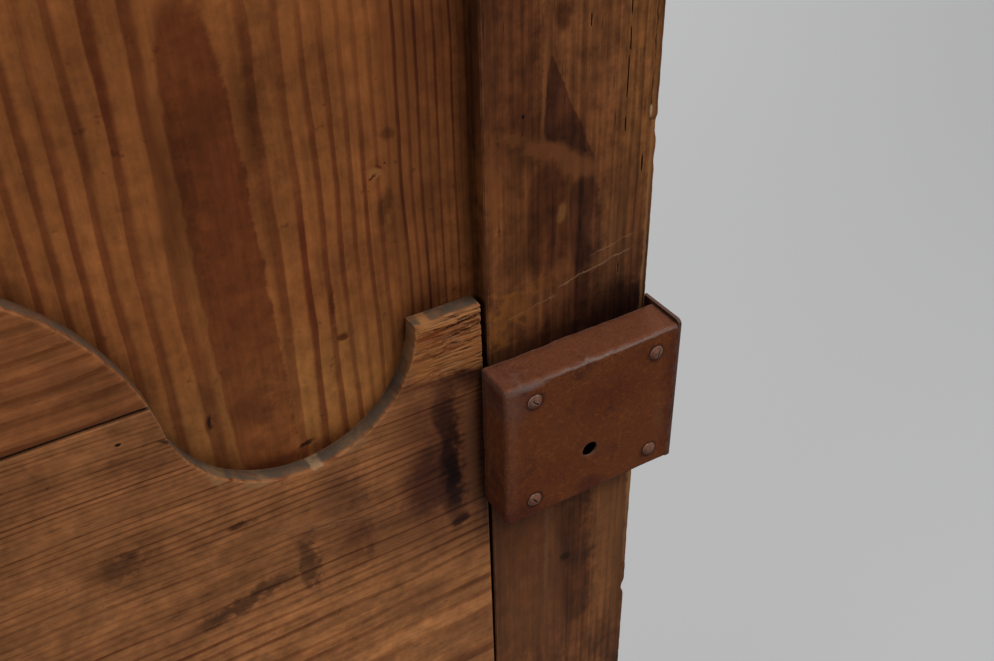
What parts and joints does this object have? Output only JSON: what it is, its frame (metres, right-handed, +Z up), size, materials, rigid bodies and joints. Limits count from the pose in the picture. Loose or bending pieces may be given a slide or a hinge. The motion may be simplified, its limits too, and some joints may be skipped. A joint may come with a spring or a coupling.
{
  "type": "arched wooden door",
  "caption": "Old round-headed pine door leaf with a shaped mid rail and a rusty rim lock, hung on lift-off hinges in its rebated arched frame.",
  "frame": {"origin": "on the floor, in the middle of the doorway and of the frame's depth", "axes": "+X into the room, +Y along the doorway from the hinge jamb to the lock jamb, +Z up"},
  "size_m": [0.9055, 0.967, 2.1335],
  "materials": {
    "leaf_pine": "old waxed pine",
    "frame_pine": "old waxed pine",
    "peg_wood": "dark end grain",
    "lock_iron": "rusty sheet iron",
    "bolt_iron": "worn dark iron",
    "hinge_iron": "rusty forged iron"
  },
  "bodies": {
    "frame": {"hinge_jamb": "frame_pine", "lock_jamb": "frame_pine", "frame_head_lock_side": "frame_pine", "frame_head_crown": "frame_pine", "frame_head_hinge_side": "frame_pine", "frame_tongues": "frame_pine", "threshold": "frame_pine", "frame_pegs": "peg_wood", "hinge_pin_half_bottom": "hinge_iron", "hinge_pin_half_middle": "hinge_iron", "hinge_pin_half_top": "hinge_iron", "jamb_hinge_nails": "hinge_iron", "keeper": "hinge_iron", "keeper_nails": "hinge_iron"},
    "leaf": {"lock_stile": "leaf_pine", "hinge_stile": "leaf_pine", "mid_rail": "leaf_pine", "mid_rail_crest": "leaf_pine", "bottom_rail": "leaf_pine", "leaf_arch_lock_side": "leaf_pine", "leaf_arch_crown": "leaf_pine", "leaf_arch_hinge_side": "leaf_pine", "leaf_arch_tongues": "leaf_pine", "upper_panel_hinge_side": "leaf_pine", "upper_panel_lock_side": "leaf_pine", "lower_panel_hinge_side": "leaf_pine", "lower_panel_lock_side": "leaf_pine", "leaf_pegs": "peg_wood", "crest_dowels": "peg_wood", "hinge_leaf_half_bottom": "hinge_iron", "hinge_leaf_half_middle": "hinge_iron", "hinge_leaf_half_top": "hinge_iron", "leaf_hinge_nails": "hinge_iron", "lock_case": "lock_iron", "lock_forend": "lock_iron", "lock_backplate": "lock_iron", "lock_posts": "lock_iron", "lock_screws": "lock_iron", "bolt_guide": "lock_iron"},
    "bolt": {"lock_bolt": "bolt_iron", "bolt_spring": "bolt_iron"}
  },
  "joints": [
    {"name": "leaf_swing", "type": "hinge", "parent": "frame", "child": "leaf", "pos_m": [0.0518, -0.40125, 0], "axis": [0, 0, 1], "range_deg": [-20, 90]},
    {"name": "bolt_throw", "type": "slide", "parent": "leaf", "child": "bolt", "axis": [1, 0, 0], "range_m": [0, 0.018]}
  ]
}
